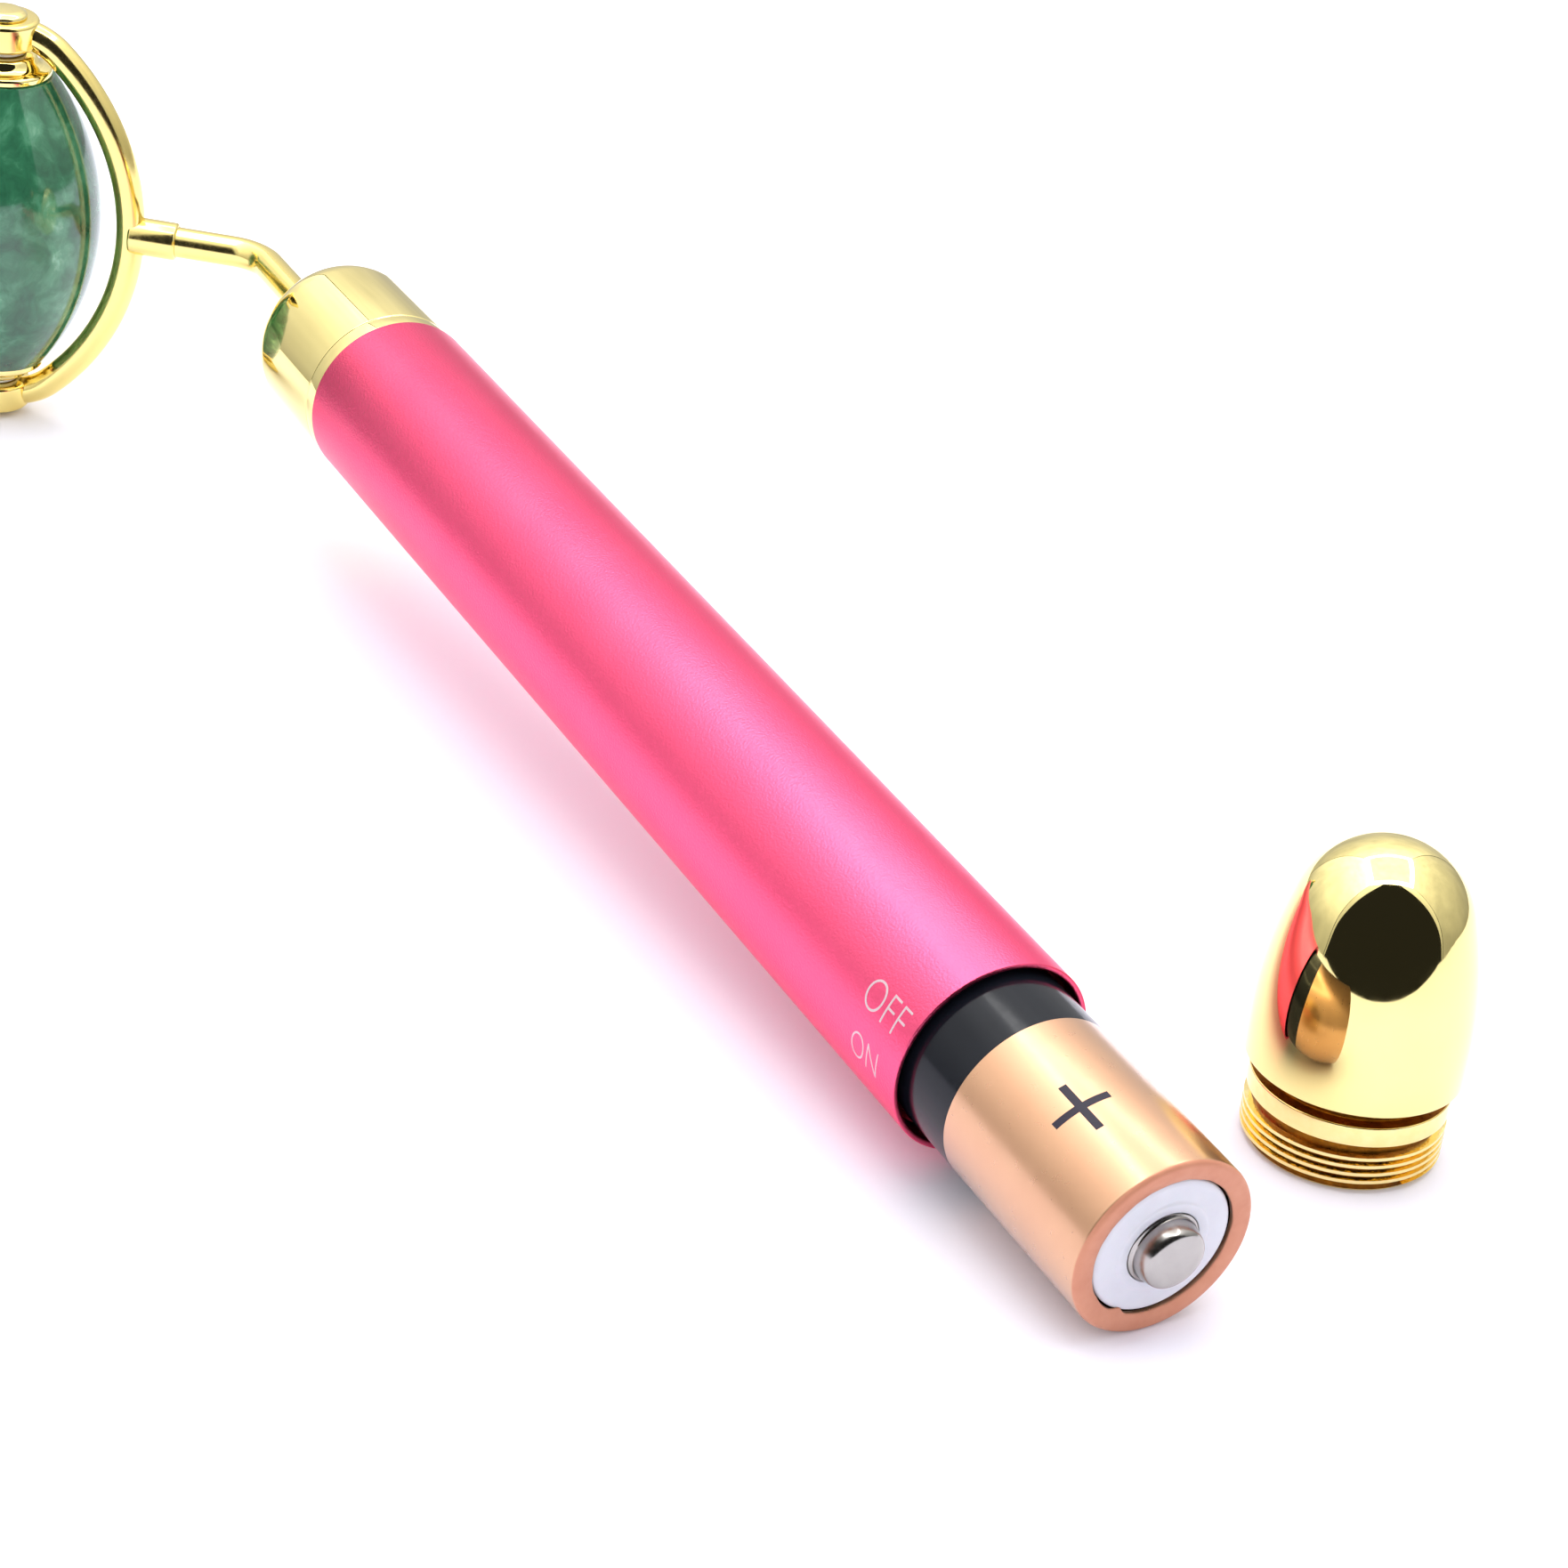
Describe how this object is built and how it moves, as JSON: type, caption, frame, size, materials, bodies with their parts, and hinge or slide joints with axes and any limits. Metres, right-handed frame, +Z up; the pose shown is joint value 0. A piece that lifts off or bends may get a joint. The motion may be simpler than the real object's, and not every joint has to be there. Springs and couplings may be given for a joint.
{
  "type": "battery face roller",
  "caption": "Slim vibrating face roller: anodised tube handle with a battery sliding out of its mouth, twist cap beside it, and a stone roller in a bow yoke on a bent neck.",
  "frame": {"origin": "centre of the tube's open mouth, on the tube's axis", "axes": "+Z up from the table that the handle and the cap rest on, +X the way the battery comes out, seen from above; the tube's axis dips 4.6 degrees towards +X, because the handle rests on the battery's rim and on the lower end of the yoke; the roller head is at -X, bent towards -Y, and the cap stands at +Y"},
  "size_m": [0.1841, 0.0668, 0.0422],
  "materials": {
    "anodised_pink": "satin, bead-blasted and anodised",
    "gold_plate": "polished gold plating",
    "steel": "bright steel",
    "spring_steel": "drawn wire",
    "contact_brass": "tinned brass",
    "white_plastic": "moulded",
    "black_plastic": "moulded",
    "wire_red": "insulation",
    "battery_sleeve": "printed film, copper and black",
    "battery_steel": "nickel-plated steel",
    "seal_white": "moulded",
    "jade": "polished stone, dark green"
  },
  "bodies": {
    "handle": {"handle_tube": "anodised_pink", "head_collar": "gold_plate", "neck_rod": "gold_plate", "roller_yoke": "gold_plate", "roller_axle": "steel", "axle_rivets": "gold_plate", "axle_washers": "white_plastic", "motor_cradle": "white_plastic", "motor_can": "steel", "motor_end_cap": "black_plastic", "motor_terminals": "contact_brass", "lead_wires": "wire_red", "contact_base": "white_plastic", "negative_spring": "spring_steel"},
    "negative_cup": {"negative_contact": "contact_brass"},
    "rotor": {"motor_shaft": "steel", "eccentric_weight": "steel"},
    "battery": {"battery_jacket": "battery_sleeve", "battery_can": "battery_steel", "battery_seal": "seal_white", "battery_nub": "battery_steel"},
    "roller": {"roller_stone": "jade", "stone_ferrules": "gold_plate", "stone_bushes": "white_plastic"},
    "cap_core": {"cap_insert": "white_plastic", "cap_spring": "spring_steel"},
    "twist_cap": {"cap_shell": "gold_plate"},
    "cap_button": {"cap_contact": "contact_brass"}
  },
  "joints": [
    {"name": "battery_slide", "type": "slide", "parent": "handle", "child": "battery", "axis": [0.9967, 0, -0.0813], "range_m": [-0.0291, 0.03]},
    {"name": "negative_press", "type": "slide", "parent": "handle", "child": "negative_cup", "axis": [0.9967, 0, -0.0813], "range_m": [-0.0025, 0], "stiffness_N_per_m": 250, "deforming": ["negative_spring"]},
    {"name": "motor_spin", "type": "hinge", "parent": "handle", "child": "rotor", "pos_m": [-0.07495, 0, 0.00611], "axis": [0.9967, 0, -0.0813], "continuous": true},
    {"name": "roller_spin", "type": "hinge", "parent": "handle", "child": "roller", "pos_m": [-0.15078, -0.02147, 0.0123], "axis": [0.0813, 0, 0.9967], "continuous": true},
    {"name": "cap_lift", "type": "slide", "parent": "handle", "child": "cap_core", "axis": [0, 0, 1], "range_m": [0, 0.04]},
    {"name": "cap_twist", "type": "hinge", "parent": "cap_core", "child": "twist_cap", "pos_m": [0.0071, 0.0274, 0], "axis": [0, 0, 1], "continuous": true},
    {"name": "button_press", "type": "slide", "parent": "cap_core", "child": "cap_button", "axis": [0, 0, 1], "range_m": [0, 0.0015], "stiffness_N_per_m": 200, "deforming": ["cap_spring"]}
  ]
}
